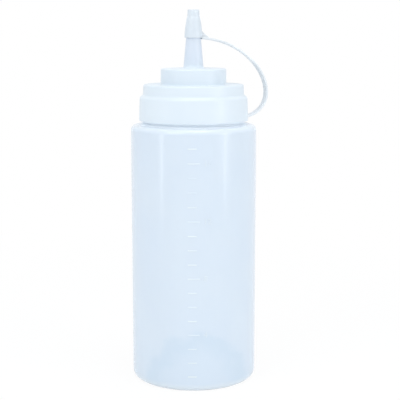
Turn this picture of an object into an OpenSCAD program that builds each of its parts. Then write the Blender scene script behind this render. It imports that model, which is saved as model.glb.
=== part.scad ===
// Squeeze bottle for sauces: blown bottle, sealing ring, screw cap with a pouring nozzle,
// and a tip cap that hangs on a strap. Millimetres, +Z up, origin at the middle of the base.
// The strap bends in the plane of X and Z, on the +X side. The scale looks towards the front left.

/* [Bottle] */
// Outer diameter of the straight wall
body_d = 70; // [64:1:90]
// Height of the shoulder's outer edge above the base
body_h = 144.2; // [100:0.1:220]
// Wall of the bottle
body_wall = 1; // [0.8:0.1:1.6]
// Thickness of the base, which is heavier than the wall
base_wall = 1.8; // [1:0.1:3]
// Radius of the rounded lower edge
base_corner_r = 3.5; // [2:0.1:6]
// Width of the flat ring that the bottle stands on
stand_w = 3; // [2:0.1:5]
// Height of the hollow under the base
base_rise = 3.2; // [1:0.1:6]
// Radius of the rounded shoulder edge
shoulder_r = 2.8; // [2:0.1:5]
// Slope of the shoulder up to the neck, in degrees
shoulder_slope = 11; // [8:1:25]

/* [Neck] */
// Outer diameter of the neck, without its thread
neck_d = 53.6; // [50:0.1:56]
// Wall of the neck
neck_wall = 1.2; // [1:0.1:2]
// Height of the neck's rim above the shoulder's outer edge
neck_h = 13.8; // [13:0.1:24]
// Fillet where the neck meets the shoulder
neck_fillet = 1; // [0.4:0.1:1.5]

/* [Thread] */
// Rise of the thread in one turn
thread_pitch = 4.23; // [3.5:0.01:5]
// Turns of thread
thread_turns = 1.5; // [1:0.1:1.7]
// Depth of the thread
thread_depth = 1.1; // [0.8:0.05:1.2]
// Width of the thread at its foot
thread_foot = 1.7; // [1.2:0.05:1.8]
// Width of the thread at its crest
thread_crest = 0.8; // [0.5:0.05:1]
// Gap between the two threads, in and out
thread_gap = 0.3; // [0.2:0.05:0.5]
// Height of the neck's lowest thread above the shoulder's outer edge
thread_start = 4.6; // [4:0.1:6]

/* [Scale] */
// Height of the first mark above the base
mark_first = 8.7; // [6:0.1:20]
// Distance from one mark to the next
mark_pitch = 7.84; // [6:0.01:10]
// Every how many marks one is long
mark_major = 4; // [2:1:5]
// Width of a short mark round the wall
mark_w = 4.8; // [3:0.1:8]
// Width of a long mark round the wall
mark_long_w = 6.4; // [4:0.1:12]
// Height of a mark's line
mark_line = 0.6; // [0.4:0.05:1.2]
// Relief of the marks on the wall
mark_relief = 0.22; // [0.1:0.01:0.25]
// Direction that the scale looks to, from +X, in degrees
mark_azimuth = -108; // [-180:1:180]

/* [Sealing ring] */
// Thickness of the ring
seal_t = 1; // [0.6:0.1:2]
// How far the ring stands in past the neck's bore
seal_lip = 0.4; // [0.2:0.1:1]
// Gap round the ring inside the skirt
seal_gap = 0.25; // [0.1:0.05:0.4]

/* [Screw cap] */
// Wall of the skirt at its lower edge
skirt_wall = 2.3; // [1.8:0.1:3]
// How much the skirt narrows on each side up to its top
skirt_draft = 0.5; // [0:0.1:1]
// Gap between the skirt's lower edge and the shoulder's outer edge
skirt_gap = 2.3; // [1.8:0.1:6]
// Thickness of the shelf over the sealing ring
shelf_wall = 1.8; // [1.2:0.1:3]
// Wall of the tier at its top
tier_wall = 2.3; // [1.6:0.1:2.6]
// Height of the upper tier
tier_h = 5.7; // [4:0.1:10]
// Step from the skirt's top in to the tier
tier_step = 1.8; // [1:0.1:2.2]
// How much the tier narrows on each side
tier_draft = 0.3; // [0:0.1:0.6]
// Rounding of the cap's upper edges
edge_r = 0.9; // [0.3:0.1:1]
// Diameter of the raised disc
disc_d = 36.5; // [30:0.5:40]
// Height of the raised disc
disc_h = 8.8; // [4:0.1:14]
// Wall of the cap's top and disc
cap_wall = 1.5; // [1:0.1:2]

/* [Nozzle] */
// Diameter just over the flared foot
nozzle_d = 10.8; // [10:0.1:12]
// How far the foot flares out on each side
flare_w = 0.8; // [0.3:0.1:2]
// Height of the flared foot
flare_h = 2.2; // [1.2:0.1:4]
// Diameter at the tip cap's rim
nozzle_mid_d = 8.2; // [7.6:0.1:9]
// Diameter of the tip
nozzle_tip_d = 5.8; // [5.2:0.1:6.4]
// Rounding of the tip's edge
nozzle_tip_edge = 0.35; // [0.2:0.05:0.5]
// Height from the disc up to the tip cap's rim
nozzle_mid_h = 16.7; // [12:0.1:30]
// Height from the tip cap's rim up to the tip
nozzle_tip_h = 10; // [8:0.1:12]
// Wall of the nozzle
nozzle_wall = 1.3; // [0.9:0.1:1.4]
// Diameter of the outlet
outlet_d = 3; // [2:0.1:3.2]

/* [Tip cap] */
// Wall at the rim
tip_rim_wall = 0.55; // [0.5:0.05:1]
// Wall of the cone over the rim
tip_wall = 0.8; // [0.6:0.05:1]
// How much wider the straight upper part is than the nozzle's tip, on each side
tip_top_step = 0.45; // [0.3:0.05:0.7]
// Height of the tip cap over the nozzle's tip
tip_over = 5.4; // [4.6:0.1:7]
// Height of the space over the nozzle's tip
tip_room = 2.6; // [2.2:0.1:3]
// Height over the nozzle's tip where the straight upper part starts
tip_neck = 2; // [1.4:0.1:3]
// Gap between the nozzle and the tip cap
tip_gap = 0.35; // [0.25:0.05:0.5]

/* [Strap] */
// Thickness of the strap
strap_t = 1.2; // [0.8:0.1:1.4]
// Width of the strap
strap_w = 5; // [3:0.1:8]
// Height of the strap's root above the skirt's lower edge
root_z = 1.6; // [1.2:0.1:4]
// Rise of the strap where it leaves the skirt, in degrees
root_angle = 14; // [5:1:20]
// How far the curve is drawn out from the skirt
root_reach = 24.1; // [20:0.1:30]
// Fall of the strap where it leaves the tip cap, in degrees
tip_angle = 4.3; // [0:0.1:8]
// How far the curve is drawn out from the tip cap
tip_reach = 34.8; // [30:0.1:40]
// Gap between two lengths of strap where they bend
bend_gap = 0.1; // [0.05:0.01:0.15]
// Height of the web over the strap at the tip cap
web_h = 4; // [2:0.1:6]
// Length of the web along the strap
web_l = 3.4; // [2:0.1:5]

/* [Hidden] */
$fn = 96;

// Small chamfer on lower edges, and the run-in of the skirt's bore
bevel = 0.3;
run_in = 0.5;
// How far one shape reaches into another that it joins
sink = 0.4;

body_r = body_d / 2;
neck_r = neck_d / 2;
neck_bore_r = neck_r - neck_wall;
rim_z = body_h + neck_h;

seal_z = rim_z + seal_t;
skirt_z = body_h + skirt_gap;
skirt_bore_r = neck_r + thread_depth + thread_gap;
skirt_r = skirt_bore_r + skirt_wall;
skirt_top_r = skirt_r - skirt_draft;
skirt_top_z = seal_z + shelf_wall;
tier_r = skirt_top_r - tier_step;
tier_bore_r = tier_r - tier_draft - tier_wall;
tier_z = skirt_top_z + tier_h;
disc_r = disc_d / 2;
disc_bore_r = disc_r - cap_wall;
disc_z = tier_z + disc_h;

tip_z = disc_z + nozzle_mid_h;
outlet_z = tip_z + nozzle_tip_h;
outlet_bore_h = 2;
nozzle_bore_r = nozzle_d / 2 - nozzle_wall;
nozzle_mid_bore_r = nozzle_mid_d / 2 - nozzle_wall;
tip_rim_r = nozzle_mid_d / 2 + tip_gap + tip_rim_wall;

// Where the strap's curve starts out from the skirt, and ends out from and under the tip cap's rim
root_out = 1;
tip_out = 0.6;
tip_drop = 0.2;
// Points where the strap's curve starts, is drawn to, and ends, in X and Z
root_p = [skirt_r + root_out, skirt_z + root_z];
tip_p = [tip_rim_r + tip_out, tip_z - tip_drop];
root_pull = root_p + root_reach * [cos(root_angle), sin(root_angle)];
tip_pull = tip_p + tip_reach * [cos(tip_angle), -sin(tip_angle)];
// Where the strap bends, as shares of the curve from the skirt to the tip cap
BENDS = [0.036, 0.739, 0.795, 0.851, 0.907];
// Steps along the whole curve of the strap
curve_steps = 36;

// Points on an arc round c, from angle a0 to angle a1
function arc(c, r, a0, a1, n = 8) = [for (i = [0:n]) c + r * [cos(a0 + (a1 - a0) * i / n),
    sin(a0 + (a1 - a0) * i / n)]];

// Point of the strap's curve at share t, its direction there, and the direction to its outer side
function curve(t) = pow(1 - t, 3) * root_p + 3 * pow(1 - t, 2) * t * root_pull
    + 3 * (1 - t) * t * t * tip_pull + pow(t, 3) * tip_p;
function slope(t) = 3 * pow(1 - t, 2) * (root_pull - root_p) + 6 * (1 - t) * t * (tip_pull - root_pull)
    + 3 * t * t * (tip_p - tip_pull);
function side(t) = let (d = slope(t)) [d[1], -d[0]] / norm(d);

// Height of the hollow under the base at radius r, up to the ring at radius ring
function hollow(r, ring) = base_rise * (1 - pow(r / ring, 2));

// Outer radius of the nozzle at height h over the tip cap's rim
function nozzle_r(h) = (nozzle_mid_d + (nozzle_tip_d - nozzle_mid_d) * h / nozzle_tip_h) / 2;

// One thread ridge: a tapered bar wound round the wall at radius r, out (1) or in (-1)
module thread(r, out, z) {
    steps = round(thread_turns * 48);
    function reach(s) = out * thread_depth * min(1, min(s, 1 - s) * 10) * 0.98 + out * 0.02;
    function ring(i) = let (s = i / steps, a = 360 * thread_turns * s,
        h = z + thread_pitch * thread_turns * s, foot = r - out * sink, top = r + reach(s))
        [for (p = [[foot, -thread_foot / 2], [top, -thread_crest / 2], [top, thread_crest / 2],
            [foot, thread_foot / 2]]) [p[0] * cos(a), p[0] * sin(a), h + p[1]]];
    points = [for (i = [0:steps]) each ring(i)];
    walls = [for (i = [0:steps - 1], k = [0:3]) let (a = 4 * i + k, b = 4 * i + (k + 1) % 4)
        each [[a, b, b + 4], [a, b + 4, a + 4]]];
    ends = [[0, 2, 1], [0, 3, 2], [4 * steps, 4 * steps + 1, 4 * steps + 2],
        [4 * steps, 4 * steps + 2, 4 * steps + 3]];
    faces = concat(walls, ends);
    polyhedron(points, out > 0 ? faces : [for (f = faces) [f[2], f[1], f[0]]], convexity = 6);
}

// Raised marks of the scale on the front wall
module marks() {
    top = body_h - shoulder_r - mark_line;
    for (i = [0:floor((top - mark_first) / mark_pitch)]) {
        w = (i + 1) % mark_major == 0 ? mark_long_w : mark_w;
        turn = 360 * w / (PI * body_d);
        start = 360 * mark_w / (PI * body_d) / 2;
        rotate(mark_azimuth - start)
            rotate_extrude(angle = turn)
            translate([body_r - sink, mark_first + i * mark_pitch - mark_line / 2])
            square([sink + mark_relief, mark_line]);
    }
}

// Blown bottle with its threaded neck
module bottle() {
    ring_r = body_r - base_corner_r - stand_w;
    slope_end = neck_r + neck_fillet * (1 - sin(shoulder_slope));
    edge_c = [body_r - shoulder_r, body_h - shoulder_r];
    edge = arc(edge_c, shoulder_r, 0, 90 - shoulder_slope);
    last = edge[len(edge) - 1];
    foot_z = last[1] + (last[0] - slope_end) * tan(shoulder_slope);
    fillet_c = [neck_r + neck_fillet, foot_z + neck_fillet * cos(shoulder_slope)];
    fillet = arc(fillet_c, neck_fillet, 270 - shoulder_slope, 180, 5);
    outside = concat(
        [for (i = [0:8]) [ring_r * i / 8, hollow(ring_r * i / 8, ring_r)]],
        arc([body_r - base_corner_r, base_corner_r], base_corner_r, -90, 0),
        edge, fillet, [[neck_r, rim_z]]);
    inner_r = body_r - body_wall;
    inner_corner = base_corner_r - body_wall;
    inner_edge = arc(edge_c, shoulder_r - body_wall, 0, 90 - shoulder_slope);
    inner_last = inner_edge[len(inner_edge) - 1];
    inner_foot_z = inner_last[1] + (inner_last[0] - neck_bore_r) * tan(shoulder_slope);
    inside = concat(
        [for (i = [0:8]) [ring_r * i / 8, base_wall + hollow(ring_r * i / 8, ring_r)]],
        arc([inner_r - inner_corner, base_wall + inner_corner], inner_corner, -90, 0),
        inner_edge, [[neck_bore_r, inner_foot_z], [neck_bore_r, rim_z + neck_h], [0, rim_z + neck_h]]);
    color("aliceblue") {
        difference() {
            union() {
                rotate_extrude() polygon(concat(outside, [[0, rim_z]]));
                marks();
            }
            rotate_extrude() polygon(inside);
        }
        thread(neck_r, 1, body_h + thread_start);
    }
}

// Flat ring that seals the neck's rim against the screw cap
module sealing_ring() {
    color("white")
    rotate_extrude()
    translate([neck_bore_r - seal_lip, rim_z])
    square([skirt_bore_r - seal_gap - neck_bore_r + seal_lip, seal_t]);
}

// Screw cap: threaded skirt, tier, disc and nozzle in one moulding, with the strap's root
module screw_cap() {
    edge_h = nozzle_tip_h - nozzle_tip_edge;
    nozzle = [
        [nozzle_d / 2 + flare_w, disc_z],
        [nozzle_d / 2 + flare_w / 2, disc_z + flare_h / 3],
        [nozzle_d / 2, disc_z + flare_h],
        [nozzle_mid_d / 2, tip_z],
        [nozzle_r(edge_h), tip_z + edge_h],
        [nozzle_tip_d / 2 - nozzle_tip_edge, outlet_z]];
    outside = concat(
        [[skirt_bore_r + run_in, skirt_z], [skirt_r - bevel, skirt_z], [skirt_r, skirt_z + bevel]],
        arc([skirt_top_r - edge_r, skirt_top_z - edge_r], edge_r, 0, 90, 5),
        [[tier_r, skirt_top_z]],
        arc([tier_r - tier_draft - edge_r, tier_z - edge_r], edge_r, 0, 90, 5),
        [[disc_r + bevel, tier_z], [disc_r, tier_z + bevel]],
        arc([disc_r - edge_r, disc_z - edge_r], edge_r, 0, 90, 5),
        nozzle);
    inside = [
        [outlet_d / 2, outlet_z],
        [outlet_d / 2, outlet_z - outlet_bore_h],
        [nozzle_mid_bore_r, tip_z],
        [nozzle_bore_r, disc_z],
        [nozzle_bore_r, disc_z - cap_wall],
        [disc_bore_r, disc_z - cap_wall],
        [disc_bore_r, tier_z - cap_wall],
        [tier_bore_r, tier_z - cap_wall],
        [tier_bore_r, seal_z],
        [skirt_bore_r, seal_z],
        [skirt_bore_r, skirt_z + run_in]];
    color("white") {
        rotate_extrude() polygon(concat(outside, inside));
        rotate(180) thread(skirt_bore_r, -1, body_h + thread_start);
        strap_part(0, BENDS[0], from_x = skirt_r - skirt_wall / 2);
    }
}

// Side view of the strap between share t0 and share t1. It runs on level from from_x or to to_x.
module strap_outline(t0, t1, from_x, to_x) {
    n = max(3, round((t1 - t0) * curve_steps));
    half = strap_t / 2;
    outer = [for (i = [0:n]) let (t = t0 + (t1 - t0) * i / n) curve(t) + side(t) * half];
    inner = [for (i = [n:-1:0]) let (t = t0 + (t1 - t0) * i / n) curve(t) - side(t) * half];
    start = is_undef(from_x) ? [] : [[from_x, root_p[1] + half], [from_x, root_p[1] - half]];
    end = is_undef(to_x) ? [] : [[to_x, tip_p[1] + half], [to_x, tip_p[1] - half]];
    polygon(concat(start, outer, end, inner));
}

// One length of strap: round where it starts, hollow where the next one starts
module strap_part(t0, t1, from_x = undef, to_x = undef) {
    translate([0, strap_w / 2, 0])
        rotate([90, 0, 0])
        linear_extrude(strap_w)
        difference() {
            union() {
                strap_outline(t0, t1, from_x, to_x);
                if (t0 > 0) translate(curve(t0)) circle(d = strap_t, $fn = 32);
            }
            if (t1 < 1) translate(curve(t1)) circle(d = strap_t + 2 * bend_gap, $fn = 32);
        }
}

// Long stiff length of the strap, from the skirt round the outside
module strap_arm() {
    color("white") strap_part(BENDS[0], BENDS[1]);
}

// Short lengths where the strap bends most, from the arm up to the tip cap
module strap_link_1() {
    color("white") strap_part(BENDS[1], BENDS[2]);
}

module strap_link_2() {
    color("white") strap_part(BENDS[2], BENDS[3]);
}

module strap_link_3() {
    color("white") strap_part(BENDS[3], BENDS[4]);
}

// Tip cap that closes the nozzle, with the strap's end and the web over it
module tip_cap() {
    edge_h = nozzle_tip_h - nozzle_tip_edge;
    mid_h = 0.6 * nozzle_tip_h;
    top_r = nozzle_tip_d / 2 + tip_top_step;
    top_z = outlet_z + tip_over;
    room_r = nozzle_tip_d / 2 - nozzle_tip_edge;
    outside = [
        [tip_rim_r - bevel, tip_z],
        [tip_rim_r, tip_z + bevel],
        [tip_rim_r, tip_z + 5 * bevel],
        [nozzle_r(mid_h) + tip_gap + tip_wall, tip_z + mid_h],
        [nozzle_r(edge_h) + tip_gap + tip_wall * 0.75, outlet_z],
        [top_r, outlet_z + tip_neck],
        [top_r - bevel / 2, top_z - 2 * bevel],
        [top_r - 2 * bevel, top_z - bevel / 2],
        [0, top_z]];
    cavity = [
        [0, outlet_z + tip_room],
        [room_r - bevel / 2, outlet_z + tip_room],
        [room_r + bevel / 2, outlet_z + tip_room / 2],
        [nozzle_r(edge_h) + tip_gap, tip_z + edge_h],
        [nozzle_mid_d / 2 + tip_gap, tip_z]];
    color("white") {
        rotate_extrude() polygon(concat(cavity, outside));
        difference() {
            union() {
                strap_part(BENDS[4], 1, to_x = tip_rim_r - 2 * sink);
                translate([0, strap_t / 2, 0])
                    rotate([90, 0, 0])
                    linear_extrude(strap_t)
                    polygon([[tip_rim_r - sink, tip_z + web_h], [tip_rim_r - sink, tip_z],
                        tip_p + [web_l, 0], tip_p + [web_l, strap_t / 2]]);
            }
            translate([0, 0, tip_z - strap_t]) cylinder(h = nozzle_tip_h, r = tip_rim_r - sink);
        }
    }
}

bottle();
sealing_ring();
screw_cap();
strap_arm();
strap_link_1();
strap_link_2();
strap_link_3();
tip_cap();
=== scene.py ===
import math
import bmesh
import bpy
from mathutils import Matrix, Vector, noise


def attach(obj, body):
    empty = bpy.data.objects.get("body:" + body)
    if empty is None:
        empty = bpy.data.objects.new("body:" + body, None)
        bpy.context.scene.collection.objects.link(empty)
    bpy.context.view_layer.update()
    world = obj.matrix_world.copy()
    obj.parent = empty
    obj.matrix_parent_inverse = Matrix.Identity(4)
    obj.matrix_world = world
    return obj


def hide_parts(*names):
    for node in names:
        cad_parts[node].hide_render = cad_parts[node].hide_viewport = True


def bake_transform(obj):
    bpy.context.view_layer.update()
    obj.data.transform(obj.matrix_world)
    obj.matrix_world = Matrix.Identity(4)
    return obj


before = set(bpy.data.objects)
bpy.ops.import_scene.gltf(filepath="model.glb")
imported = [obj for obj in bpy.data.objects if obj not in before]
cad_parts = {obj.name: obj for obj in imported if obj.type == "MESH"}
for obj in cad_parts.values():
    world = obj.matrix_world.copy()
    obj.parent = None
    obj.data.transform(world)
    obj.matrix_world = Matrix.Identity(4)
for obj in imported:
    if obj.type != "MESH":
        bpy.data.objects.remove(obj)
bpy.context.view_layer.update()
mm = 0.001
print("frame loaded:", len(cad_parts), "nodes")

# outlines and meshes, in millimetres
outlineRules = {
    # share of a side that one rounding may take, and the angle of one step on it
    "mostOfSide": 0.48, "arcStep": 13.0,
    # a side over "plainSide" gets a point this far from each of its ends, which keeps its shading flat
    "plainSide": 0.8, "edgeWidth": 0.2}


def softPath(corners, closed=False, longest=5.0):
    # corners are (r, z, rounding) or (r, z, rounding, longest step to the next corner)
    count = len(corners)
    rounded = []
    for i, corner in enumerate(corners):
        here = Vector(corner[:2])
        size = corner[2]
        if size <= 0 or (not closed and i in (0, count - 1)):
            rounded.append([here])
            continue
        toLast = Vector(corners[i - 1][:2]) - here
        toNext = Vector(corners[(i + 1) % count][:2]) - here
        half = toLast.angle(toNext) / 2
        most = outlineRules["mostOfSide"] * min(toLast.length, toNext.length)
        reach = min(size / math.tan(half), most)
        size = reach * math.tan(half)
        middle = here + (toLast.normalized() + toNext.normalized()).normalized() * size / math.sin(half)
        a = here + toLast.normalized() * reach - middle
        b = here + toNext.normalized() * reach - middle
        turn = a.angle_signed(b)
        pieces = max(3, round(abs(turn) / math.radians(outlineRules["arcStep"])))
        arc = []
        for k in range(pieces + 1):
            angle = -turn * k / pieces
            arc.append(middle + Vector((a.x * math.cos(angle) - a.y * math.sin(angle),
                                        a.x * math.sin(angle) + a.y * math.cos(angle))))
        rounded.append(arc)
    path = []
    for i, arc in enumerate(rounded):
        path += arc
        if i == count - 1 and not closed:
            break
        start, end = arc[-1], rounded[(i + 1) % count][0]
        gap = (end - start).length
        step = corners[i][3] if len(corners[i]) > 3 else longest
        isPlain = gap > outlineRules["plainSide"]
        edge = min(1, gap) * outlineRules["edgeWidth"]
        if isPlain:
            path.append(start.lerp(end, edge / gap))
        pieces = math.ceil(gap / step)
        for k in range(1, pieces):
            path.append(start.lerp(end, k / pieces))
        if isPlain:
            path.append(start.lerp(end, 1 - edge / gap))
    return path


def latheMesh(name, path, steps, closed=False, shape=None, moreAngles=()):
    # the solid lies to the left of the path; shape(r, z, angle) moves a point
    angles = [2 * math.pi * k / steps for k in range(steps)]
    angles += [angle % (2 * math.pi) for angle in moreAngles]
    angles.sort()
    steps = len(angles)
    shell = bmesh.new()
    rings = []
    for point in path:
        r, z = point
        if r < 1e-4:
            rings.append([shell.verts.new((0, 0, z * mm))] * steps)
            continue
        ring = []
        for angle in angles:
            newR, newZ = shape(r, z, angle) if shape else (r, z)
            x, y = newR * math.cos(angle), newR * math.sin(angle)
            ring.append(shell.verts.new((x * mm, y * mm, newZ * mm)))
        rings.append(ring)
    if closed:
        rings.append(rings[0])
    for low, high in zip(rings, rings[1:]):
        for k in range(steps):
            corners = [low[k], low[(k + 1) % steps], high[(k + 1) % steps], high[k]]
            face = [v for j, v in enumerate(corners) if v is not corners[j - 1]]
            if len(face) > 2:
                shell.faces.new(face)
    return meshObject(name, shell)


def meshObject(name, shell, smooth=True):
    mesh = bpy.data.meshes.new(name)
    for face in shell.faces:
        face.smooth = smooth
    shell.to_mesh(mesh)
    shell.free()
    piece = bpy.data.objects.new(name, mesh)
    bpy.context.scene.collection.objects.link(piece)
    return piece


def finishedMesh(piece):
    # the mesh with its modifiers, or of a text
    bpy.context.view_layer.update()
    ready = piece.evaluated_get(bpy.context.evaluated_depsgraph_get())
    return bpy.data.meshes.new_from_object(ready)


def threadHeight(z, angle, thread):
    # relief of the thread at that height and angle; its first and last tenth run out
    best = 0.0
    for turn in range(math.ceil(thread["turns"])):
        done = angle / (2 * math.pi) + turn
        if not 0 <= done <= thread["turns"]:
            continue
        away = abs(z - thread["start"] - thread["pitch"] * done)
        flank = (thread["foot"] / 2 - away) / ((thread["foot"] - thread["crest"]) / 2)
        fade = min(1, min(done, thread["turns"] - done) / (thread["turns"] * 0.1))
        level = min(1, max(0, flank))
        best = max(best, thread["depth"] * fade * level * level * (3 - 2 * level))
    return best


# materials


def newMaterial(name):
    material = bpy.data.materials.new(name)
    material.use_nodes = True
    nodes = material.node_tree.nodes
    nodes.clear()
    return material, nodes, material.node_tree.links


moulded = {
    "cloudDetail": 3, "cloudRange": (0.35, 0.65), "grainDetail": 4, "grainShare": 0.35,
    # streaks run up the wall, as blown and moulded plastic has them
    "streakDetail": 2, "streakStretch": (1, 1, 0.04),
    # dull smudges where hands have held it
    "smudgeScale": 38, "smudgeDetail": 5, "smudgeTwist": 0.6, "smudgeRange": (0.48, 0.68),
    "patchScale": 60, "patchDetail": 3, "bumpDepth": 0.1}


def makePlasticGroup():
    # cloudy colour, uneven gloss, and a fine grain with drawn-out streaks
    group = bpy.data.node_groups.new("mouldedPlastic", "ShaderNodeTree")
    face = group.interface
    for name, kind, value in (
            ("Tint", "NodeSocketColor", (0.8, 0.9, 1, 1)),
            ("Shade", "NodeSocketColor", (0.7, 0.8, 0.9, 1)),
            ("Cloud Scale", "NodeSocketFloat", 60), ("Grain Scale", "NodeSocketFloat", 1800),
            ("Streak Scale", "NodeSocketFloat", 300), ("Gloss", "NodeSocketFloat", 0.3),
            ("Gloss Spread", "NodeSocketFloat", 0.08), ("Smudge", "NodeSocketFloat", 0.05)):
        socket = face.new_socket(name, in_out="INPUT", socket_type=kind)
        socket.default_value = value
    face.new_socket("Color", in_out="OUTPUT", socket_type="NodeSocketColor")
    face.new_socket("Roughness", in_out="OUTPUT", socket_type="NodeSocketFloat")
    face.new_socket("Height", in_out="OUTPUT", socket_type="NodeSocketFloat")
    nodes, links = group.nodes, group.links
    given = nodes.new("NodeGroupInput")
    result = nodes.new("NodeGroupOutput")
    place = nodes.new("ShaderNodeTexCoord")

    clouds = nodes.new("ShaderNodeTexNoise")
    clouds.inputs["Detail"].default_value = moulded["cloudDetail"]
    links.new(place.outputs["Object"], clouds.inputs["Vector"])
    links.new(given.outputs["Cloud Scale"], clouds.inputs["Scale"])
    cloudRange = nodes.new("ShaderNodeMapRange")
    cloudRange.inputs["From Min"].default_value = moulded["cloudRange"][0]
    cloudRange.inputs["From Max"].default_value = moulded["cloudRange"][1]
    links.new(clouds.outputs["Fac"], cloudRange.inputs["Value"])
    mix = nodes.new("ShaderNodeMix")
    mix.data_type = "RGBA"
    links.new(cloudRange.outputs["Result"], mix.inputs["Factor"])
    links.new(given.outputs["Tint"], mix.inputs["A"])
    links.new(given.outputs["Shade"], mix.inputs["B"])
    links.new(mix.outputs["Result"], result.inputs["Color"])

    grain = nodes.new("ShaderNodeTexNoise")
    grain.inputs["Detail"].default_value = moulded["grainDetail"]
    links.new(place.outputs["Object"], grain.inputs["Vector"])
    links.new(given.outputs["Grain Scale"], grain.inputs["Scale"])

    drawn = nodes.new("ShaderNodeMapping")
    drawn.inputs["Scale"].default_value = moulded["streakStretch"]
    links.new(place.outputs["Object"], drawn.inputs["Vector"])
    streaks = nodes.new("ShaderNodeTexNoise")
    streaks.inputs["Detail"].default_value = moulded["streakDetail"]
    links.new(drawn.outputs["Vector"], streaks.inputs["Vector"])
    links.new(given.outputs["Streak Scale"], streaks.inputs["Scale"])

    smudges = nodes.new("ShaderNodeTexNoise")
    smudges.inputs["Scale"].default_value = moulded["smudgeScale"]
    smudges.inputs["Detail"].default_value = moulded["smudgeDetail"]
    smudges.inputs["Distortion"].default_value = moulded["smudgeTwist"]
    links.new(place.outputs["Object"], smudges.inputs["Vector"])
    smudgeRange = nodes.new("ShaderNodeMapRange")
    smudgeRange.interpolation_type = "SMOOTHSTEP"
    smudgeRange.inputs["From Min"].default_value = moulded["smudgeRange"][0]
    smudgeRange.inputs["From Max"].default_value = moulded["smudgeRange"][1]
    links.new(smudges.outputs["Fac"], smudgeRange.inputs["Value"])
    smudgeAmount = nodes.new("ShaderNodeMath")
    smudgeAmount.operation = "MULTIPLY"
    links.new(smudgeRange.outputs["Result"], smudgeAmount.inputs[0])
    links.new(given.outputs["Smudge"], smudgeAmount.inputs[1])

    glossSpread = nodes.new("ShaderNodeMath")
    glossSpread.operation = "MULTIPLY_ADD"
    links.new(streaks.outputs["Fac"], glossSpread.inputs[0])
    links.new(given.outputs["Gloss Spread"], glossSpread.inputs[1])
    links.new(given.outputs["Gloss"], glossSpread.inputs[2])
    roughness = nodes.new("ShaderNodeMath")
    roughness.operation = "ADD"
    links.new(glossSpread.outputs[0], roughness.inputs[0])
    links.new(smudgeAmount.outputs[0], roughness.inputs[1])
    links.new(roughness.outputs[0], result.inputs["Roughness"])

    height = nodes.new("ShaderNodeMath")
    height.operation = "MULTIPLY_ADD"
    height.inputs[1].default_value = moulded["grainShare"]
    links.new(grain.outputs["Fac"], height.inputs[0])
    links.new(streaks.outputs["Fac"], height.inputs[2])
    links.new(height.outputs[0], result.inputs["Height"])
    return group


plasticGroup = makePlasticGroup()


def addFade(nodes, links, color, fade):
    # toward the fade's colour, by height or by the distance from a point, in millimetres:
    # by amounts[0] up to "low" and by amounts[1] from "high" on
    place = nodes.new("ShaderNodeTexCoord")
    uneven = nodes.new("ShaderNodeTexNoise")
    uneven.inputs["Scale"].default_value = fade.get("patch", moulded["patchScale"])
    uneven.inputs["Detail"].default_value = moulded["patchDetail"]
    links.new(place.outputs["Object"], uneven.inputs["Vector"])
    level = nodes.new("ShaderNodeMath")
    level.operation = "MULTIPLY_ADD"
    level.inputs[1].default_value = fade.get("uneven", 0) * mm
    links.new(uneven.outputs["Fac"], level.inputs[0])
    if "point" in fade:
        away = nodes.new("ShaderNodeVectorMath")
        away.operation = "DISTANCE"
        away.inputs[1].default_value = [v * mm for v in fade["point"]]
        links.new(place.outputs["Object"], away.inputs[0])
        links.new(away.outputs["Value"], level.inputs[2])
    else:
        split = nodes.new("ShaderNodeSeparateXYZ")
        links.new(place.outputs["Object"], split.inputs["Vector"])
        links.new(split.outputs["Z"], level.inputs[2])
    span = nodes.new("ShaderNodeMapRange")
    span.interpolation_type = "SMOOTHSTEP"
    span.inputs["From Min"].default_value = fade["low"] * mm
    span.inputs["From Max"].default_value = fade["high"] * mm
    span.inputs["To Min"].default_value = fade["amounts"][0]
    span.inputs["To Max"].default_value = fade["amounts"][1]
    links.new(level.outputs[0], span.inputs["Value"])
    tint = nodes.new("ShaderNodeMix")
    tint.data_type = "RGBA"
    links.new(span.outputs["Result"], tint.inputs["Factor"])
    links.new(color, tint.inputs["A"])
    tint.inputs["B"].default_value = fade["color"]
    return tint.outputs["Result"]


def plasticMaterial(name, look):
    material, nodes, links = newMaterial(name)
    output = nodes.new("ShaderNodeOutputMaterial")
    shader = nodes.new("ShaderNodeBsdfPrincipled")
    surface = nodes.new("ShaderNodeGroup")
    surface.node_tree = plasticGroup
    for key, value in look["surface"].items():
        surface.inputs[key].default_value = value
    color = surface.outputs["Color"]
    for fade in look.get("fades", ()):
        color = addFade(nodes, links, color, fade)
    bump = nodes.new("ShaderNodeBump")
    bump.inputs["Strength"].default_value = look["bump"]
    bump.inputs["Distance"].default_value = moulded["bumpDepth"] * mm
    links.new(surface.outputs["Height"], bump.inputs["Height"])
    links.new(color, shader.inputs["Base Color"])
    if "Emission Strength" in look["shader"]:
        links.new(color, shader.inputs["Emission Color"])
    links.new(surface.outputs["Roughness"], shader.inputs["Roughness"])
    links.new(bump.outputs["Normal"], shader.inputs["Normal"])
    for key, value in look["shader"].items():
        shader.inputs[key].default_value = value
    links.new(shader.outputs["BSDF"], output.inputs["Surface"])
    return material


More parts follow.
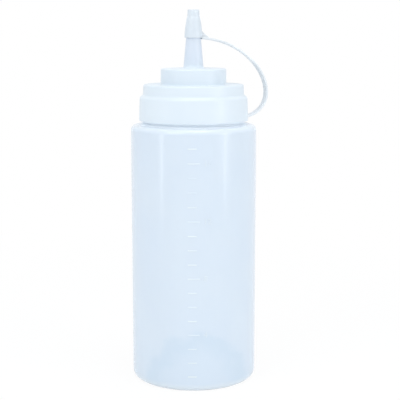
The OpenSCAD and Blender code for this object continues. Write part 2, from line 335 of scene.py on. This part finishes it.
# roughness stays below 0.27 on the bottle and above 0.28 elsewhere, because
# the render's noise filter draws lines where a surface crosses from one to the other
bottlePlastic = plasticMaterial("bottlePlastic", {
    "surface": {"Tint": (0.79, 0.878, 0.975, 1), "Shade": (0.772, 0.864, 0.972, 1),
                "Cloud Scale": 45, "Grain Scale": 1500, "Streak Scale": 260,
                "Gloss": 0.17, "Gloss Spread": 0.06, "Smudge": 0.03},
    "fades": (
        # painted shade: a little darker towards the base, where the raised base shows through the wall
        {"color": (0.76, 0.865, 0.98, 1), "low": 8, "high": 30, "amounts": (0.25, 0), "uneven": 8},
        # painted shade: a faint darker arch on the front of the wall, where the raised base shows
        # through
        {"color": (0.69, 0.815, 0.94, 1), "point": (-7, -34.5, 1), "low": 36, "high": 42,
         "amounts": (0.65, 0), "uneven": 16, "patch": 80},
        {"color": (0.765, 0.86, 0.97, 1), "point": (-7, -34.5, 1), "low": 25, "high": 35,
         "amounts": (0.9, 0), "uneven": 16, "patch": 80},
        # painted light: a paler lower edge, where the bottle's own shadow falls, and a painted
        # highlight along the shoulder's edge; nearly the wall's colour again on the neck
        {"color": (0.92, 0.97, 1.0, 1), "low": 1, "high": 5, "amounts": (0.55, 0)},
        {"color": (0.93, 0.965, 0.99, 1), "low": 141.8, "high": 144.1, "amounts": (0, 0.3)},
        {"color": (0.80, 0.89, 0.985, 1), "low": 147, "high": 152, "amounts": (0, 0.9)}),
    "shader": {"IOR": 1.5, "Transmission Weight": 0.22}, "bump": 0.25})


# inner and hidden faces with painted light: their own tints and a glow, standing in for the light that
# comes through the milky walls:
# (tint, shade, glow)
hollowLitTones = ((0.82, 0.89, 0.955, 1), (0.80, 0.875, 0.95, 1))
insideLightLooks = {
    "wallInsideGlow": (*hollowLitTones, 0.06), "capInsideGlow": (*hollowLitTones, 0.23),
    "tipInsideGlow": (*hollowLitTones, 0.05),
    "gapGlowPlastic": ((0.81, 0.85, 0.89, 1), (0.80, 0.84, 0.88, 1), 0.06),
    "skirtUnderGlow": ((0.77, 0.82, 0.865, 1), (0.76, 0.81, 0.855, 1), 0.42)}


def insideLightPlastic(name):
    tint, shade, glow = insideLightLooks[name]
    return plasticMaterial(name, {
        "surface": {"Tint": tint, "Shade": shade, "Cloud Scale": 45, "Grain Scale": 1500,
                    "Streak Scale": 260, "Gloss": 0.32, "Gloss Spread": 0.1, "Smudge": 0.03},
        "shader": {"IOR": 1.5, "Emission Strength": glow}, "bump": 0.2})


wallInsideGlow = insideLightPlastic("wallInsideGlow")
capInsideGlow = insideLightPlastic("capInsideGlow")
tipInsideGlow = insideLightPlastic("tipInsideGlow")
gapGlowPlastic = insideLightPlastic("gapGlowPlastic")
skirtUnderGlow = insideLightPlastic("skirtUnderGlow")
capPlastic = plasticMaterial("capPlastic", {
    "surface": {"Tint": (0.753, 0.826, 0.89, 1), "Shade": (0.738, 0.815, 0.883, 1),
                "Cloud Scale": 70, "Grain Scale": 2200, "Streak Scale": 500,
                "Gloss": 0.3, "Gloss Spread": 0.08, "Smudge": 0.06},
    # darker and bluer towards the nozzle than on the cap under it
    "fades": ({"color": (0.69, 0.755, 0.85, 1), "low": 174.5, "high": 181, "amounts": (0, 0.9)},),
    "shader": {"IOR": 1.5, "Transmission Weight": 0.12}, "bump": 0.2})
tipPlastic = plasticMaterial("tipPlastic", {
    "surface": {"Tint": (0.78, 0.845, 0.91, 1), "Shade": (0.76, 0.83, 0.90, 1),
                "Cloud Scale": 160, "Grain Scale": 2600, "Streak Scale": 700,
                "Gloss": 0.29, "Gloss Spread": 0.08, "Smudge": 0.05},
    # painted light: the rim paler towards its lower edge
    "fades": ({"color": (0.88, 0.93, 0.97, 1), "low": 191.9, "high": 192.9, "amounts": (0.5, 0)},),
    "shader": {"IOR": 1.5, "Transmission Weight": 0.2}, "bump": 0.18})
strapPlastic = plasticMaterial("strapPlastic", {
    "surface": {"Tint": (0.83, 0.862, 0.89, 1), "Shade": (0.80, 0.835, 0.87, 1),
                "Cloud Scale": 120, "Grain Scale": 2600, "Streak Scale": 600,
                "Gloss": 0.34, "Gloss Spread": 0.08, "Smudge": 0.05},
    "fades": (
        # painted shade and light: darker above its root, and paler on the bend where it turns over near
        # the top
        {"color": (0.70, 0.74, 0.775, 1), "low": 152, "high": 160, "amounts": (0, 0.8)},
        {"color": (0.86, 0.89, 0.915, 1), "point": (30, 0, 186), "low": 5, "high": 13,
         "amounts": (0.8, 0)}),
    "shader": {"IOR": 1.5}, "bump": 0.2})
# the wall's own plastic, with painted highlights: some marks lighter than others, at random
markSheenPlastic = plasticMaterial("markSheenPlastic", {
    "surface": {"Tint": (0.89, 0.965, 1.0, 1), "Shade": (0.785, 0.879, 0.983, 1),
                "Cloud Scale": 52, "Grain Scale": 2600, "Streak Scale": 600,
                "Gloss": 0.17, "Gloss Spread": 0.06, "Smudge": 0.03},
    "shader": {"IOR": 1.5, "Transmission Weight": 0.22}, "bump": 0.1})
sealRubber = plasticMaterial("sealRubber", {
    "surface": {"Tint": (0.86, 0.86, 0.83, 1), "Shade": (0.80, 0.80, 0.77, 1),
                "Cloud Scale": 220, "Grain Scale": 3200, "Streak Scale": 300,
                "Gloss": 0.5, "Gloss Spread": 0.1, "Smudge": 0.06},
    "shader": {"IOR": 1.5}, "bump": 0.4})
print("materials made")


def paintFaces(piece, plastic, isChosen):
    # another material for the faces that isChosen(r, z, outward, up) picks
    piece.data.materials.append(plastic)
    index = len(piece.data.materials) - 1
    for face in piece.data.polygons:
        spot = face.center
        r = max(1e-6, math.hypot(spot.x, spot.y))
        outward = (spot.x * face.normal.x + spot.y * face.normal.y) / r
        if isChosen(r / mm, spot.z / mm, outward, face.normal.z):
            face.material_index = index


# how far a face looks away from the axis or up: below 0 it looks inwards or down
facing = {"inward": -0.3, "down": -0.7, "notOut": 0.1}


def lightenInside(piece, plastic, lowest):
    # faces above that height that look inwards, or down from a hollow, get a plastic with painted light
    def isInner(r, z, outward, up):
        looksDown = up < facing["down"] and outward < facing["notOut"]
        return z > lowest and (outward < facing["inward"] or looksDown)

    paintFaces(piece, plastic, isInner)


# bottle
bottle = {
    "wallRadius": 35.0, "wall": 1.0, "baseWall": 1.8, "cornerRadius": 3.5, "standWidth": 3.0,
    "baseRise": 3.2, "hollowRings": 14, "standRound": 0.8, "floorRound": 2.0,
    "shoulderEdge": 144.2, "shoulderRadius": 2.8, "shoulderSlope": 11.0, "slopeStep": 0.7,
    "neckRadius": 26.8, "neckWall": 1.2, "rimHeight": 158.0, "neckFillet": 1.2, "rimRound": 0.35,
    "boreRound": 1.5, "threadStep": 0.22, "steps": 192,
    # slow waves in the wall and on its inner side, which fade out towards base and shoulder
    "wave": 0.07, "waveSize": 16, "innerShare": 2.5, "innerSize": 11, "innerStart": (7, 3, 1),
    "waveRise": 0.35, "waveMargins": (4, 5), "waveFade": 10, "sideMargin": 0.1,
    # ridge where the mould's halves pinched the base shut
    "pinchDepth": 0.35, "pinchWidth": 0.7, "pinchAngle": -18.0,
    # the mould's seam: (degrees to its side, height)
    "seam": ((-0.6, 0), (-0.25, 0.06), (0, 0.09), (0.25, 0.06), (0.6, 0)), "seamFade": 3,
    # heights from which inner faces have another plastic with painted light, and those of the gap under
    # the cap, which glows too
    "wallFrom": 6.0, "neckFrom": 144.1, "gapFrom": 144.6, "gapTo": 147.8}
neckThread = {"start": 148.8, "pitch": 4.23, "turns": 1.5, "depth": 1.1, "foot": 1.7, "crest": 0.8}
ringRadius = bottle["wallRadius"] - bottle["cornerRadius"] - bottle["standWidth"]


def bottlePath(b):
    slope = math.radians(b["shoulderSlope"])
    edgeR = b["wallRadius"] - b["shoulderRadius"] * (1 - math.sin(slope))
    edgeZ = b["shoulderEdge"] - b["shoulderRadius"] * (1 - math.cos(slope))

    def shoulder(r, under=0.0):
        return edgeZ + (edgeR - r) * math.tan(slope) - under / math.cos(slope)

    def hollow(r):
        return b["baseRise"] * (1 - (r / ringRadius) ** 2)

    innerR = b["wallRadius"] - b["wall"]
    boreR = b["neckRadius"] - b["neckWall"]
    rings = [ringRadius * k / b["hollowRings"] for k in range(b["hollowRings"])]
    corners = [(r, hollow(r), 0) for r in rings]
    corners += [
        (ringRadius, 0, b["standRound"]),
        (b["wallRadius"], 0, b["cornerRadius"]),
        (b["wallRadius"], shoulder(b["wallRadius"]), b["shoulderRadius"], b["slopeStep"]),
        (b["neckRadius"], shoulder(b["neckRadius"]), b["neckFillet"], b["threadStep"]),
        (b["neckRadius"], b["rimHeight"], b["rimRound"]),
        (boreR, b["rimHeight"], b["rimRound"]),
        (boreR, shoulder(boreR, b["wall"]), b["boreRound"]),
        (innerR, shoulder(innerR, b["wall"]), b["shoulderRadius"] - b["wall"]),
        (innerR, b["baseWall"], b["cornerRadius"] - b["wall"]),
        (ringRadius, b["baseWall"], b["floorRound"])]
    corners += [(r, b["baseWall"] + hollow(r), 0) for r in reversed(rings)]
    return softPath(corners)


def seamHeight(angle):
    # the halves of the mould met on both sides, in line with the pinched ridge under the base
    side = (math.degrees(angle) - bottle["pinchAngle"] + 90) % 180 - 90
    for (start, low), (end, high) in zip(bottle["seam"], bottle["seam"][1:]):
        if start <= side <= end:
            return low + (high - low) * (side - start) / (end - start)
    return 0


def bottleShape(r, z, angle):
    b = bottle
    if abs(r - b["neckRadius"]) < 0.01:
        return r + threadHeight(z, angle, neckThread), z
    spot = Vector((r * math.cos(angle), r * math.sin(angle), z * b["waveRise"]))
    below, above = b["waveMargins"]
    onWall = (min(1, max(0, (z - below) / b["waveFade"]))
              * min(1, max(0, (b["shoulderEdge"] - above - z) / b["waveFade"])))
    if r > b["wallRadius"] - b["sideMargin"]:
        wave = b["wave"] * noise.noise(spot / b["waveSize"]) * onWall
        return r + wave + seamHeight(angle) * min(1, onWall * b["seamFade"]), z
    if r > b["wallRadius"] - b["wall"] - b["sideMargin"]:
        start = Vector(b["innerStart"])
        return r + b["wave"] * b["innerShare"] * noise.noise(spot / b["innerSize"] + start) * onWall, z
    if z < b["baseRise"] + 0.01 and r < ringRadius - 1:
        across = abs(r * math.sin(angle - math.radians(b["pinchAngle"])))
        return r, z - b["pinchDepth"] * max(0, 1 - across / b["pinchWidth"])
    return r, z


seamAngles = [math.radians(bottle["pinchAngle"] + turned + side)
              for turned in (0, 180) for side, _ in bottle["seam"]]
bottlePiece = latheMesh("bottleShell", bottlePath(bottle), bottle["steps"], shape=bottleShape,
                        moreAngles=seamAngles)
bottlePiece.data.materials.append(bottlePlastic)
# painted light: the bottle's inner faces get glowing plastics
lightenInside(bottlePiece, wallInsideGlow, bottle["wallFrom"])
lightenInside(bottlePiece, capInsideGlow, bottle["neckFrom"])
# painted light: the shoulder and the neck in the gap under the cap get a greyer plastic that glows a
# little, where the cap's shade falls
paintFaces(bottlePiece, gapGlowPlastic, lambda r, z, outward, up:
           bottle["gapFrom"] < z < bottle["gapTo"] and outward > -0.1)
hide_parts("bottle")
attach(bottlePiece, "bottle")
print("bottle made")

# scale on the wall
scale = {
    "direction": -108.0, "first": 8.7, "pitch": 7.84, "count": 17, "every": 4,
    "short": 4.8, "long": 6.4, "line": 0.62, "relief": 0.12, "sunk": 0.3, "round": 0.1,
    "numberSize": 4.4, "numberGap": 2.2, "numberRelief": 0.07, "numberRound": 0.04}


def wrapOnWall(shell, height):
    # x runs round the wall from the scale's direction, z up, and y out of the wall
    start = math.radians(scale["direction"])
    for v in shell.verts:
        x, out, z = v.co
        angle = start + x / bottle["wallRadius"]
        r = bottle["wallRadius"] + out
        v.co = (r * math.cos(angle) * mm, r * math.sin(angle) * mm, (z + height) * mm)
    bmesh.ops.recalc_face_normals(shell, faces=shell.faces)


def addMark(target, length, height):
    shell = bmesh.new()
    made = bmesh.ops.create_cube(shell, size=1)
    start = -scale["short"] / 2
    for v in made["verts"]:
        v.co.x = start + (v.co.x + 0.5) * length
        v.co.y = scale["relief"] if v.co.y > 0 else -scale["sunk"]
        v.co.z *= scale["line"]
    front = [e for e in shell.edges if all(v.co.y > 0 for v in e.verts)]
    bmesh.ops.bevel(shell, geom=front, offset=scale["round"], segments=3, profile=0.6, affect="EDGES")
    long = [e for e in shell.edges if abs(e.verts[0].co.x - e.verts[1].co.x) > length * 0.5]
    bmesh.ops.subdivide_edges(shell, edges=long, cuts=8, use_grid_fill=True)
    wrapOnWall(shell, height)
    addShell(target, shell)


def addShell(target, shell):
    part = bpy.data.meshes.new("part")
    shell.to_mesh(part)
    shell.free()
    target.from_mesh(part)
    bpy.data.meshes.remove(part)


def addNumber(target, text, height):
    words = bpy.data.curves.new("number", "FONT")
    words.body = text
    words.size = scale["numberSize"]
    words.align_y = "CENTER"
    words.extrude = (scale["numberRelief"] + scale["sunk"]) / 2
    words.bevel_depth = scale["numberRound"]
    words.bevel_resolution = 1
    words.resolution_u = 3
    holder = bpy.data.objects.new("number", words)
    bpy.context.scene.collection.objects.link(holder)
    flat = finishedMesh(holder)
    bpy.data.objects.remove(holder)
    shell = bmesh.new()
    shell.from_mesh(flat)
    bmesh.ops.remove_doubles(shell, verts=shell.verts, dist=1e-5)
    start = scale["long"] - scale["short"] / 2 + scale["numberGap"]
    for v in shell.verts:
        x, y, z = v.co
        v.co = (x + start, z + (scale["numberRelief"] - scale["sunk"]) / 2, y)
    wrapOnWall(shell, height)
    addShell(target, shell)


marks = bmesh.new()
numbers = bmesh.new()
for i in range(scale["count"]):
    height = scale["first"] + i * scale["pitch"]
    isLong = (i + 1) % scale["every"] == 0
    addMark(marks, scale["long"] if isLong else scale["short"], height)
    if isLong:
        addNumber(numbers, str(i + 1), height)
for name, shell in (("scaleMarks", marks), ("scaleNumbers", numbers)):
    piece = meshObject(name, shell, smooth=False)
    piece.data.materials.append(markSheenPlastic)
    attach(piece, "bottle")
print("scale made")

# sealing ring
ring = {"inner": 25.2, "outer": 27.95, "bottom": 158.0, "thick": 1.0, "round": 0.22, "steps": 144}
ringPath = softPath([
    (ring["inner"], ring["bottom"], ring["round"]), (ring["outer"], ring["bottom"], ring["round"]),
    (ring["outer"], ring["bottom"] + ring["thick"], ring["round"]),
    (ring["inner"], ring["bottom"] + ring["thick"], ring["round"])], closed=True)
ringPiece = latheMesh("sealingRing", ringPath, ring["steps"], closed=True)
ringPiece.data.materials.append(sealRubber)
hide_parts("sealing_ring")
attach(ringPiece, "sealing_ring")

# screw cap with its nozzle
cap = {
    "bottom": 146.5, "boreRadius": 28.2, "skirtRadius": 30.5, "skirtTopRadius": 30.0,
    "skirtTop": 160.8, "slopeDrop": 1.3, "lip": 0.5, "litEdge": 0.4,
    "tierRadius": 28.2, "tierTopRadius": 27.9, "tierTop": 166.5, "tierBore": 25.6, "sealTop": 159.0,
    "discRadius": 18.25, "discTop": 175.3, "wall": 1.5, "edgeRound": 0.9,
    # the nozzle's foot widens by these powers of the way down, in radius and height
    "footRadius": 6.2, "flareHeight": 2.4, "flareSteps": 6, "flarePowers": (2.2, 1.2),
    "nozzleRadius": 5.4, "rimZ": 192.0, "rimRadius": 4.1, "tipZ": 202.0, "tipRadius": 2.9,
    "tipRound": 0.4, "nozzleWall": 1.3, "outletRadius": 1.5, "outletLength": 2,
    "threadStep": 0.22, "steps": 168}
capThread = {"start": 148.8, "pitch": 4.23, "turns": 1.5, "depth": 1.1, "foot": 1.7, "crest": 0.8}


def capPath(c):
    flare = []
    widening, rising = c["flarePowers"]
    for k in range(c["flareSteps"]):
        s = k / c["flareSteps"]
        r = c["nozzleRadius"] + (c["footRadius"] - c["nozzleRadius"]) * (1 - s) ** widening
        flare.append((r, c["discTop"] + c["flareHeight"] * s ** rising, 0))
    corners = [
        (c["boreRadius"] + c["lip"], c["bottom"], 0.12),
        (c["skirtRadius"], c["bottom"], 0.5),
        (c["skirtTopRadius"], c["skirtTop"] - c["slopeDrop"], 1.6),
        (c["tierRadius"], c["skirtTop"], 1.0),
        (c["tierTopRadius"], c["tierTop"], c["edgeRound"]),
        (c["discRadius"], c["tierTop"], 0.5),
        (c["discRadius"], c["discTop"], c["edgeRound"])]
    corners += flare
    corners += [
        (c["nozzleRadius"], c["discTop"] + c["flareHeight"], 0),
        (c["rimRadius"], c["rimZ"], 0, 2.0),
        (c["tipRadius"], c["tipZ"], c["tipRound"]),
        (c["outletRadius"], c["tipZ"], 0.25),
        (c["outletRadius"], c["tipZ"] - c["outletLength"], 0),
        (c["rimRadius"] - c["nozzleWall"], c["rimZ"], 0),
        (c["nozzleRadius"] - c["nozzleWall"], c["discTop"], 0),
        (c["nozzleRadius"] - c["nozzleWall"], c["discTop"] - c["wall"], 0.3),
        (c["discRadius"] - c["wall"], c["discTop"] - c["wall"], 0.8),
        (c["discRadius"] - c["wall"], c["tierTop"] - c["wall"], 0.4),
        (c["tierBore"], c["tierTop"] - c["wall"], 0.6),
        (c["tierBore"], c["sealTop"], 0.2),
        (c["boreRadius"], c["sealTop"], 0.15, c["threadStep"]),
        (c["boreRadius"], c["bottom"] + c["lip"], 0.1)]
    return softPath(corners, closed=True)


def capShape(r, z, angle):
    if abs(r - cap["boreRadius"]) < 0.01 and z < cap["sealTop"] - 0.3:
        return r - threadHeight(z, (angle - math.pi) % (2 * math.pi), capThread), z
    return r, z


capPiece = latheMesh("screwCapShell", capPath(cap), cap["steps"], closed=True, shape=capShape)
capPiece.data.materials.append(capPlastic)
# painted light: the cap's inner faces get a glowing plastic
lightenInside(capPiece, capInsideGlow, cap["bottom"] - 1)
# painted light: the skirt's lower edge glows and so lights the gap over the shoulder
paintFaces(capPiece, skirtUnderGlow, lambda r, z, outward, up:
           z < cap["bottom"] + cap["litEdge"] and up < -0.8)
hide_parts("screw_cap")
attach(capPiece, "screw_cap")
print("screw cap made")

# tip cap
tip = {
    "rimZ": 192.0, "rimRadius": 5.0, "rimHeight": 1.4, "rimRound": 0.22, "stepRound": 0.8,
    "boreRadius": 4.45, "boreRound": 0.12, "topRadius": 3.26, "top": 207.4, "topRound": 0.6,
    # (radius, height, rounding) outside and inside, from the rim up
    "cone": ((4.53, 198.0, 6.0), (3.9, 202.0, 2.5), (3.38, 203.9, 1.0)),
    "cavity": ((3.3, 201.65, 0.5), (2.63, 203.3, 0.3), (2.48, 204.6, 0.4)),
    "steps": 96, "longest": 1.2,
    "web": {"thick": 1.2, "height": 4.0, "length": 3.4, "start": 4.6, "under": 0.2,
            "endHeight": 0.3, "power": 1.15, "round": 0.25}}
tipPath = softPath([
    (0, tip["cavity"][-1][1], 0), *reversed(tip["cavity"]),
    (tip["boreRadius"], tip["rimZ"], tip["boreRound"]),
    (tip["rimRadius"], tip["rimZ"], tip["rimRound"]),
    (tip["rimRadius"], tip["rimZ"] + tip["rimHeight"], tip["stepRound"]), *tip["cone"],
    (tip["topRadius"], tip["top"], tip["topRound"]), (0, tip["top"], 0)], longest=tip["longest"])
tipPiece = latheMesh("tipCapShell", tipPath, tip["steps"])
tipPiece.data.materials.append(tipPlastic)
# painted light: the tip cap's inner faces get a glowing plastic
lightenInside(tipPiece, tipInsideGlow, tip["rimZ"] - 1)
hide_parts("tip_cap")
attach(tipPiece, "tip_cap")

# strap
strap = {
    "thick": 1.2, "width": 5.0, "round": 0.34, "length": 71.3,
    # it is thicker where it leaves the skirt, and "flareWidth" times as much wider
    "rootFlare": 0.5, "flareFrom": 30.4, "flareLength": 1.6, "flareWidth": 1.6,
    "root": (31.5, 148.1), "tip": (5.6, 191.8), "rootAngle": 14.0, "rootReach": 24.1,
    "tipAngle": 4.3, "tipReach": 34.8,
    # both ends sink into the wall they are moulded to, the root a little downwards
    "rootEnd": 29.3, "rootDrop": 0.06, "rootRun": (1, 0.1), "tipEnd": 4.68,
    "hinges": (0.036, 0.739, 0.795, 0.851, 0.907), "cuts": (0.0, 0.39, 0.767, 0.823, 0.879, 1.0),
    "rootBlend": 0.15, "blend": 0.028, "step": 0.5}


def strapCurve(t):
    s = strap
    start, end = Vector(s["root"]), Vector(s["tip"])
    up, down = math.radians(s["rootAngle"]), math.radians(s["tipAngle"])
    pull = start + s["rootReach"] * Vector((math.cos(up), math.sin(up)))
    push = end + s["tipReach"] * Vector((math.cos(down), -math.sin(down)))
    u = 1 - t
    point = u ** 3 * start + 3 * u * u * t * pull + 3 * u * t * t * push + t ** 3 * end
    run = 3 * u * u * (pull - start) + 6 * u * t * (push - pull) + 3 * t * t * (end - push)
    return point, run.normalized()


def strapSection(thick, width):
    # rounded rectangle: (along the width, along the thickness), with five points on each broad side
    s = strap["round"]
    points = []
    for signA, signB, turn in ((1, 1, 0), (-1, 1, 90), (-1, -1, 180), (1, -1, 270)):
        for k in range(4):
            angle = math.radians(turn + 30 * k)
            points.append((signA * (width / 2 - s) + s * math.cos(angle),
                           signB * (thick / 2 - s) + s * math.sin(angle)))
        if turn in (0, 180):
            for k in range(1, 6):
                points.append((signA * (width / 2 - s) * (1 - k / 3), signB * thick / 2))
    return points


def strapPiece(name, start, end):
    stations = []
    count = max(6, math.ceil((end - start) * strap["length"] / strap["step"]))
    for k in range(count + 1):
        point, run = strapCurve(start + (end - start) * k / count)
        stations.append((point, run))
    if start == 0:
        first = stations[0][0]
        rootRun = Vector(strap["rootRun"]).normalized()
        for k in (1, 2, 3, 4):
            away = (first.x - strap["rootEnd"]) * k / 4
            stations.insert(0, (Vector((first.x - away, first.y - away * strap["rootDrop"])), rootRun))
    if end == 1:
        last = stations[-1][0]
        for k in (1, 2):
            away = (last.x - strap["tipEnd"]) * k / 2
            stations.append((Vector((last.x - away, last.y)), Vector((-1, 0))))
    shell = bmesh.new()
    rings = []
    for i, (point, run) in enumerate(stations):
        side = Vector((run.y, -run.x))
        grow = 0
        if start == 0:
            past = (point.x - strap["flareFrom"]) / strap["flareLength"]
            grow = strap["rootFlare"] * max(0, 1 - past) ** 2
        ringVerts = []
        width = strap["width"] + grow * strap["flareWidth"]
        for across, out in strapSection(strap["thick"] + grow, width):
            x, z = point + side * out
            if end == 1 and i == len(stations) - 1:
                x = math.sqrt(strap["tipEnd"] ** 2 - across ** 2)
            ringVerts.append(shell.verts.new((x * mm, across * mm, z * mm)))
        rings.append(ringVerts)
    around = len(rings[0])
    for low, high in zip(rings, rings[1:]):
        for k in range(around):
            shell.faces.new([low[k], low[(k + 1) % around], high[(k + 1) % around], high[k]])
    shell.faces.new(list(reversed(rings[0])))
    shell.faces.new(rings[-1])
    bmesh.ops.recalc_face_normals(shell, faces=shell.faces)
    piece = meshObject(name, shell)
    for face in piece.data.polygons:
        if len(face.vertices) > 4:
            face.use_smooth = False
    return piece


nodesStoodFor = ("strap_arm", "strap_link_1", "strap_link_2", "strap_link_3")
for i in range(5):
    part = strapPiece("strapPart" + str(i + 1), strap["cuts"][i], strap["cuts"][i + 1])
    part.data.materials.append(strapPlastic)
    if i > 0:
        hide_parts(nodesStoodFor[i - 1])
    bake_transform(part)

# web over the strap's end at the tip cap
web = tip["web"]
webShell = bmesh.new()
webStart, webEnd = web["start"], strap["tip"][0] + web["length"]
outline = [(webStart, tip["rimZ"] - web["under"]), (webStart, tip["rimZ"] + web["height"])]
for k in range(1, 9):
    s = k / 8
    rise = (web["height"] - web["endHeight"]) * (1 - s) ** web["power"]
    outline.append((webStart + (webEnd - webStart) * s, tip["rimZ"] + web["endHeight"] + rise))
outline.append((webEnd, tip["rimZ"] - web["under"]))
sides = []
for y in (-web["thick"] / 2, web["thick"] / 2):
    sides.append([webShell.verts.new((x * mm, y * mm, z * mm)) for x, z in outline])
webShell.faces.new(sides[0])
webShell.faces.new(list(reversed(sides[1])))
for k in range(len(outline)):
    n = (k + 1) % len(outline)
    webShell.faces.new([sides[0][n], sides[0][k], sides[1][k], sides[1][n]])
bmesh.ops.recalc_face_normals(webShell, faces=webShell.faces)
webPiece = meshObject("tipWeb", webShell, smooth=False)
soft = webPiece.modifiers.new("soft", "BEVEL")
soft.width = web["round"] * mm
soft.segments = 3
soft.limit_method = "ANGLE"
soft.angle_limit = math.radians(50)
bevelled = finishedMesh(webPiece)
webPiece.modifiers.clear()
webPiece.data = bevelled
webPiece.data.materials.append(strapPlastic)
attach(webPiece, "tip_cap")
print("strap and tip cap made")

# camera
view = {
    "azimuth": -17.0, "pitch": 9.41, "distance": 0.580, "aimHeight": 0.1012, "aimRight": 0.00359,
    "lens": 92.1, "sensor": 36}
camera = bpy.data.cameras.new("photoCamera")
camera.lens = view["lens"]
camera.sensor_width = view["sensor"]
holder = bpy.data.objects.new("photoCamera", camera)
bpy.context.scene.collection.objects.link(holder)
turn, tilt = math.radians(view["azimuth"]), math.radians(view["pitch"])
outward = Vector((math.sin(turn) * math.cos(tilt), -math.cos(turn) * math.cos(tilt), math.sin(tilt)))
rightward = Vector((math.cos(turn), math.sin(turn), 0))
aim = Vector((0, 0, view["aimHeight"])) + rightward * view["aimRight"]
holder.location = aim + outward * view["distance"]
holder.rotation_euler = (-outward).to_track_quat("-Z", "Y").to_euler()
bpy.context.scene.camera = holder

# studio
studio = {
    "floorSize": 4.0, "floorColor": (0.95, 0.955, 0.96, 1), "floorGlow": 0.92, "fade": (0.10, 0.45),
    "worldGlow": 0.73, "worldColor": (0.955, 0.985, 1, 1), "lampAim": 0.11,
    # name: (across, height, away from the camera's side, width, length, watts)
    "lamps": {
        "key": (-0.55, 0.75, -0.70, 0.50, 0.50, 2.35),
        "fill": (0.75, 0.35, -0.45, 0.50, 0.60, 1.25),
        "top": (0.05, 0.95, -0.08, 0.42, 0.42, 1.95),
        "stripLeft": (-0.62, 0.18, -0.38, 0.05, 0.50, 0.45),
        "stripRight": (0.62, 0.18, -0.38, 0.05, 0.50, 0.45)}}


def addLamp(name, across, height, away, width, length, watts):
    lamp = bpy.data.lights.new(name, "AREA")
    lamp.shape = "RECTANGLE"
    lamp.size = width
    lamp.size_y = length
    lamp.energy = watts
    lampHolder = bpy.data.objects.new(name, lamp)
    bpy.context.scene.collection.objects.link(lampHolder)
    back = Vector((-math.sin(turn), math.cos(turn), 0))
    lampHolder.location = rightward * across + back * away + Vector((0, 0, height))
    toward = Vector((0, 0, studio["lampAim"])) - lampHolder.location
    lampHolder.rotation_euler = toward.to_track_quat("-Z", "Y").to_euler()


def seenDirectly(nodes, links):
    # 1 for rays that show the background: from the camera, a reflection or a see-through surface
    path = nodes.new("ShaderNodeLightPath")
    first = nodes.new("ShaderNodeMath")
    first.operation = "MAXIMUM"
    links.new(path.outputs["Is Camera Ray"], first.inputs[0])
    links.new(path.outputs["Is Glossy Ray"], first.inputs[1])
    second = nodes.new("ShaderNodeMath")
    second.operation = "MAXIMUM"
    links.new(first.outputs[0], second.inputs[0])
    links.new(path.outputs["Is Transmission Ray"], second.inputs[1])
    return second.outputs[0]


def makeFloor():
    grid = bmesh.new()
    bmesh.ops.create_grid(grid, x_segments=2, y_segments=2, size=studio["floorSize"] / 2)
    piece = meshObject("floor", grid)
    material, nodes, links = newMaterial("floorWhite")
    output = nodes.new("ShaderNodeOutputMaterial")
    matt = nodes.new("ShaderNodeBsdfDiffuse")
    matt.inputs["Color"].default_value = studio["floorColor"]
    glow = nodes.new("ShaderNodeEmission")
    share = nodes.new("ShaderNodeMath")
    share.operation = "MULTIPLY"
    # the shadow shows near the bottle only, and further out the floor is as white as the background
    spot = nodes.new("ShaderNodeTexCoord")
    away = nodes.new("ShaderNodeVectorMath")
    away.operation = "LENGTH"
    links.new(spot.outputs["Object"], away.inputs[0])
    fading = nodes.new("ShaderNodeMapRange")
    fading.interpolation_type = "SMOOTHSTEP"
    fading.inputs["From Min"].default_value = studio["fade"][0]
    fading.inputs["From Max"].default_value = studio["fade"][1]
    fading.inputs["To Min"].default_value = studio["floorGlow"]
    fading.inputs["To Max"].default_value = 1.0
    links.new(away.outputs["Value"], fading.inputs["Value"])
    links.new(fading.outputs["Result"], share.inputs[1])
    links.new(seenDirectly(nodes, links), share.inputs[0])
    mixed = nodes.new("ShaderNodeMixShader")
    links.new(share.outputs[0], mixed.inputs["Fac"])
    links.new(matt.outputs["BSDF"], mixed.inputs[1])
    links.new(glow.outputs["Emission"], mixed.inputs[2])
    links.new(mixed.outputs["Shader"], output.inputs["Surface"])
    piece.data.materials.append(material)
    return piece


def makeWorld():
    world = bpy.data.worlds.new("studioWhite")
    world.use_nodes = True
    bpy.context.scene.world = world
    nodes, links = world.node_tree.nodes, world.node_tree.links
    nodes.clear()
    output = nodes.new("ShaderNodeOutputWorld")
    soft = nodes.new("ShaderNodeBackground")
    soft.inputs["Color"].default_value = studio["worldColor"]
    soft.inputs["Strength"].default_value = studio["worldGlow"]
    white = nodes.new("ShaderNodeBackground")
    white.inputs["Color"].default_value = (1, 1, 1, 1)
    mixed = nodes.new("ShaderNodeMixShader")
    links.new(seenDirectly(nodes, links), mixed.inputs["Fac"])
    links.new(soft.outputs["Background"], mixed.inputs[1])
    links.new(white.outputs["Background"], mixed.inputs[2])
    links.new(mixed.outputs["Shader"], output.inputs["Surface"])


for name, values in studio["lamps"].items():
    addLamp(name, *values)
floor = makeFloor()
makeWorld()
bpy.context.scene.view_settings.view_transform = "Standard"
print("camera and studio made")
